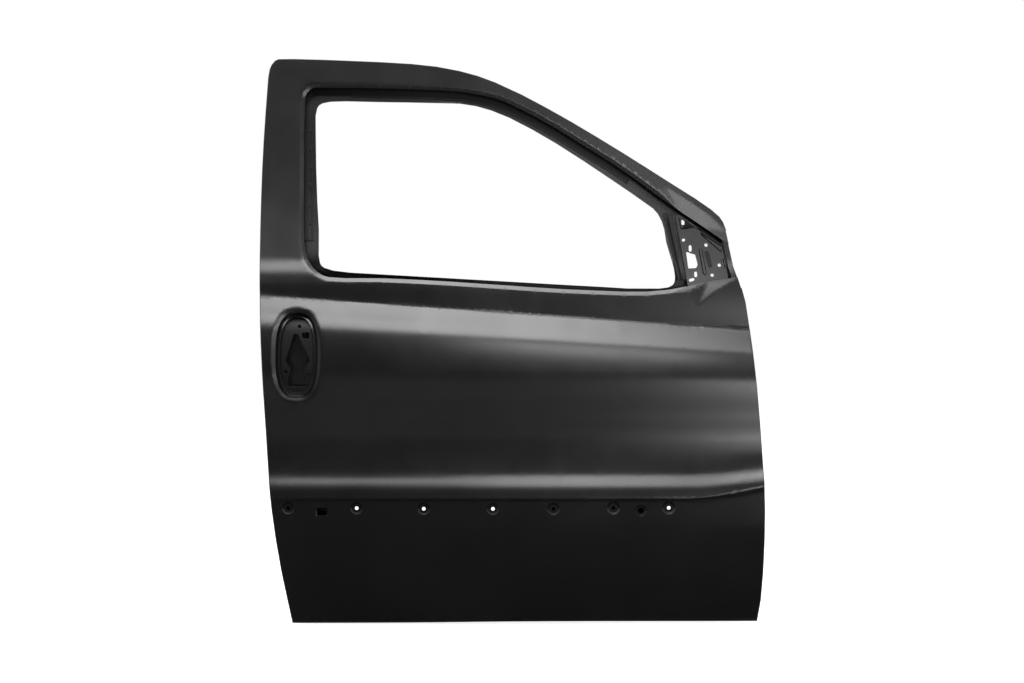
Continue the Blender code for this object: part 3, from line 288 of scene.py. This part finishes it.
# Zinc plating on weld nuts, through a thin coat: a grey, blurred metal shine
zinc = coated("zinc_plated", "8f8f8c", "3a3a3a", 0.38, metallic=0.9, dust_amount=0.5)
# Anti-flutter mastic, which expands in the oven and stays rubbery: matte and faintly grainy
mastic = coated("mastic_matte", "1a1918", "3c3934", 0.85, specular=0.3, peel=0.3)
FINISHES = {"black_primer": primer, "primed_steel": hidden, "zinc_nut": zinc, "mastic": mastic}
print("finishes:", ", ".join(made.name for made in FINISHES.values()))

# %% [markdown]
# ## From facets to pressed sheet
#
# A press leaves smooth metal between sharp lines. Each stamping here is a copy of its solid, cut into small
# faces. Every corner keeps its distance from the ideal surface, and moves to where the true curve puts it.
# The flange of the inner panel follows the skin, and the rest of it follows the inner panel's own plane.

# %% Small faces on the ideal surface
FACET = 0.010
CUT_ROUNDS = 7
DOUBLES = 1e-6
SKIN_REACH = 0.006


def divided(bm, facet):
    """Cuts every edge that is longer than the facet size, and keeps triangles."""
    for _ in range(CUT_ROUNDS):
        long_edges = [e for e in bm.edges if e.calc_length() > facet]
        if not long_edges:
            break
        bmesh.ops.subdivide_edges(bm, edges=long_edges, cuts=1)
        bmesh.ops.triangulate(bm, faces=[f for f in bm.faces if len(f.verts) > 3])


def places_of(bm):
    return np.array([tuple(v.co) for v in bm.verts]) + ORIGIN


def ideal(p, share):
    """The depth that each place would have on the skin, on the inner panel's face, or in between."""
    return share * skin(p[:, 0], p[:, 2]) + (1 - share) * inner_face(p[:, 0], p[:, 2])


def fitted(bm, facet, follow_inner):
    """Small faces whose corners keep their distance from the ideal surface."""
    distance = bm.verts.layers.float.new("distance")
    share = bm.verts.layers.float.new("share")
    p = places_of(bm)
    near = p[:, 1] - skin(p[:, 0], p[:, 2]) < SKIN_REACH
    shares = np.where(near, 1.0, 0.0) if follow_inner else np.ones(len(p))
    for v, d, w in zip(bm.verts, p[:, 1] - ideal(p, shares), shares):
        v[distance], v[share] = d, w
    divided(bm, facet)
    distances, shares = (np.array([v[layer] for v in bm.verts]) for layer in (distance, share))
    for v, y in zip(bm.verts, distances + ideal(places_of(bm), shares)):
        v.co.y = y - ORIGIN[1]


print("facets:", FACET * 1000, "mm")

# %% [markdown]
# ## Folds and shading
#
# Light shows each fold of the real sheet as a crisp line and each bend as a soft one, so an edge is sharp
# only where the faces beside it turn by more than an angle. Cutting leaves slivers, and a sliver's own
# direction is chance: it takes the direction of a sound face beside it. Normals weighted by area keep small
# faces from showing.

# %% Folds
SLIVER = 0.03
SLIVER_STEPS = 6
FOLD_ANGLE = math.radians(35)


def longest_edge(face):
    return max(face.edges, key=lambda e: e.calc_length())


def steady_normal(face):
    """The face's normal, or for a sliver the one of the face across its longest edge."""
    for _ in range(SLIVER_STEPS):
        edge = longest_edge(face)
        if face.calc_area() > SLIVER * edge.calc_length() ** 2:
            break
        across = [f for f in edge.link_faces if f is not face]
        if not across:
            break
        face = across[0]
    return face.normal.copy()


def mark_folds(bm):
    """Sharp edges where the sheet is folded, and smooth ones where it only curves."""
    bm.normal_update()
    normals = {f: steady_normal(f) for f in bm.faces}
    for face in bm.faces:
        face.smooth = True
    for edge in bm.edges:
        sides = [normals[f] for f in edge.link_faces]
        edge.smooth = len(sides) == 2 and sides[0].angle(sides[1], 0) < FOLD_ANGLE


def with_even_shading(made):
    """Gives the object a mesh with normals weighted by the area of the faces."""
    weighted = made.modifiers.new("even_shading", "WEIGHTED_NORMAL")
    weighted.mode = "FACE_AREA"
    weighted.keep_sharp = True
    shaded = bpy.data.meshes.new_from_object(made.evaluated_get(bpy.context.evaluated_depsgraph_get()))
    made.modifiers.clear()
    made.data = shaded


print("a fold turns by more than", round(math.degrees(FOLD_ANGLE)), "degrees")


# %% The stampings
def pressed(name, slot, follow_inner=False, facet=FACET):
    """A stamping that stands for its node: the solid's facets, fitted to the smooth surfaces."""
    bm = bmesh.new()
    bm.from_mesh(frame["nodes"][name].data)
    bmesh.ops.remove_doubles(bm, verts=bm.verts, dist=DOUBLES)
    fitted(bm, facet, follow_inner)
    mark_folds(bm)
    mesh = bpy.data.meshes.new(name + "_pressed")
    bm.to_mesh(mesh)
    bm.free()
    mesh.materials.append(FINISHES[slot])
    made = bpy.data.objects.new(name + "_pressed", mesh)
    bpy.context.collection.objects.link(made)
    with_even_shading(made)
    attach(made, "root")
    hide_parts(name)
    print(name, "faces:", len(made.data.polygons))


INNER_FACET = 0.014
pressed("outer_panel", "black_primer")
pressed("inner_panel", "black_primer", follow_inner=True, facet=INNER_FACET)
for name in ("glass_channel_header", "glass_channel_rear", "division_bar", "handle_reinforcement",
             "belt_reinforcement_outer"):
    pressed(name, "primed_steel")

# %% [markdown]
# ## The finishes on the solids that are right as they are
#
# Flat plates, tubes, nuts and pads have their true shape already. Only their finish is missing, and the
# record says which one each piece has.

# %% Finishes on the solids
for part in frame["record"]["subparts"]:
    solid = frame["nodes"][part["node"]]
    solid.data.materials.clear()
    solid.data.materials.append(FINISHES[part["material_slot"]])

# %% [markdown]
# ## Studio: floor and cards
#
# Black metal shows only what it reflects, so the studio is laid out by angles. The floor is pale and glows
# white for the camera and in reflections, but throws no light of its own on the door. Two black cards that
# show only in reflections, one behind the camera and one on the floor, keep the sheet dark where it faces
# them.


# %% Paints of the studio
MATTE = 0.9
FLOOR_GLOW = 0.78


def matte(name, code):
    made = bpy.data.materials.new(name)
    made.use_nodes = True
    shader = made.node_tree.nodes["Principled BSDF"].inputs
    shader["Base Color"].default_value = colour(code)
    shader["Roughness"].default_value = MATTE
    return made


def seen_rays(tree):
    """1 for rays from the camera and for reflected or transmitted ones, and 0 for those that light things."""
    path = node(tree, "ShaderNodeLightPath")
    seen = path["Is Camera Ray"]
    for ray in ("Is Glossy Ray", "Is Transmission Ray"):
        seen = node(tree, "ShaderNodeMath", [(0, seen), (1, path[ray])], operation="MAXIMUM")[0]
    return seen


def glowing(material, strength):
    """Adds a white glow that is seen, and that lights nothing."""
    tree = material.node_tree
    glow = node(tree, "ShaderNodeMath", [(0, seen_rays(tree)), (1, strength)], operation="MULTIPLY")[0]
    shader = tree.nodes["Principled BSDF"].inputs
    shader["Emission Color"].default_value = colour("ffffff")
    tree.links.new(glow, shader["Emission Strength"])
    return material


floor_paint = glowing(matte("studio_floor", "f4f4f4"), FLOOR_GLOW)
black_card = matte("black_card", "050505")
print("paints:", floor_paint.name, "and", black_card.name)


# %% Floor and cards
def sheet(name, centre, width, height, upright, material):
    """A flat sheet of the studio, which lies on the floor or stands upright."""
    side = Vector((width / 2, 0, 0))
    rise = Vector((0, 0, height / 2)) if upright else Vector((0, height / 2, 0))
    corners = [Vector(centre) + a * side + b * rise for a, b in ((-1, -1), (1, -1), (1, 1), (-1, 1))]
    mesh = bpy.data.meshes.new(name)
    mesh.from_pydata([tuple(corner) for corner in corners], [], [(0, 1, 2, 3)])
    mesh.materials.append(material)
    made = bpy.data.objects.new(name, mesh)
    bpy.context.collection.objects.link(made)
    return made


def unseen(card):
    """A card that shows only in reflections."""
    card.visible_camera = False
    card.visible_diffuse = False
    card.visible_shadow = False


MID_DEPTH = 0.08
CENTRE = Vector((DOOR_WIDTH / 2, MID_DEPTH, DOOR_HEIGHT / 2)) - Vector(ORIGIN)
FLOOR_GAP = 0.002
FLOOR_Z = CAD_BOX[0][2] - FLOOR_GAP
FLOOR_SIZE = 60
CARDS = (  # name, place, width and height, upright or not
    ("black_card_camera", (CENTRE.x, -9.0, 1.95), 16.0, 8.5, True),
    ("black_card_floor", (CENTRE.x, -3.1, FLOOR_Z + FLOOR_GAP / 2), 9.0, 6.14, False),
)
sheet("floor", (CENTRE.x, 0, FLOOR_Z), FLOOR_SIZE, FLOOR_SIZE, False, floor_paint)
for card in CARDS:
    unseen(sheet(*card, black_card))
print("floor at", round(FLOOR_Z, 4), "m, cards:", len(CARDS))

# %% [markdown]
# ## Studio: lamps and surroundings
#
# A large softbox stands high and far in front, and only sheet that faces well up mirrors it, which is the
# bright band under the shoulder crease. A small low one makes the soft band over the sill trim, one at the
# front side makes the light on the front edge, and one behind the door shows its inner side. The surroundings
# are white where they are seen, and give a weak fill where they light things. All places are in metres from
# the hinge face.

# %% Lamps and surroundings
FILL_LIGHT = 0.35
SOFTBOXES = (  # name, place, what it points at, width and height, power
    ("softbox_top", (-2.0, -9.7, 11.2), (-2.0, 0, 0), (8.2, 7.1), 2000),
    ("softbox_low", (-0.2, -2.0, 0.9), (-0.2, 0, -0.25), (0.8, 0.32), 7.5),
    ("softbox_front", (1.0, -4.85, -0.1), (0, 0, 0), (0.4, 0.6), 20),
    ("softbox_back", (CENTRE.x, 3.0, 2.4), CENTRE, (3.0, 1.5), 40),
)
for name, place, target, size, power in SOFTBOXES:
    light = bpy.data.lights.new(name, "AREA")
    light.shape = "RECTANGLE"
    light.size, light.size_y = size
    light.energy = power
    lamp = bpy.data.objects.new(name, light)
    lamp.location = place
    lamp.rotation_euler = (Vector(target) - Vector(place)).to_track_quat("-Z", "Y").to_euler()
    bpy.context.collection.objects.link(lamp)

world = bpy.data.worlds.new("studio")
bpy.context.scene.world = world
world.use_nodes = True
tree = world.node_tree
tree.nodes.clear()
fill, white = (node(tree, "ShaderNodeBackground", [("Color", colour("ffffff")), ("Strength", strength)])[0]
               for strength in (FILL_LIGHT, 1.0))
both = node(tree, "ShaderNodeMixShader", [(0, seen_rays(tree)), (1, fill), (2, white)])[0]
node(tree, "ShaderNodeOutputWorld", [("Surface", both)])
print("softboxes:", len(SOFTBOXES))

# %% [markdown]
# ## Camera
#
# The photograph is taken square to the door with a long lens, from about seven metres away. The focal length
# follows from the millimetres that one pixel covers at that distance.

# %% Camera
CAMERA_DISTANCE = 7.0
MM_PER_PIXEL = 2.3
IMAGE_WIDTH = 1024
SENSOR = 36
LOOK_AT = (0.58725, 0.6526)
lens = bpy.data.cameras.new("camera")
lens.sensor_width = SENSOR
lens.lens = SENSOR * CAMERA_DISTANCE / (IMAGE_WIDTH * MM_PER_PIXEL / 1000)
camera = bpy.data.objects.new("camera", lens)
camera.location = Vector((LOOK_AT[0], -CAMERA_DISTANCE, LOOK_AT[1])) - Vector(ORIGIN)
camera.rotation_euler = (math.pi / 2, 0, 0)
bpy.context.collection.objects.link(camera)
scene = bpy.context.scene
scene.camera = camera
scene.view_settings.view_transform = "Standard"
print("focal length:", round(lens.lens), "mm")
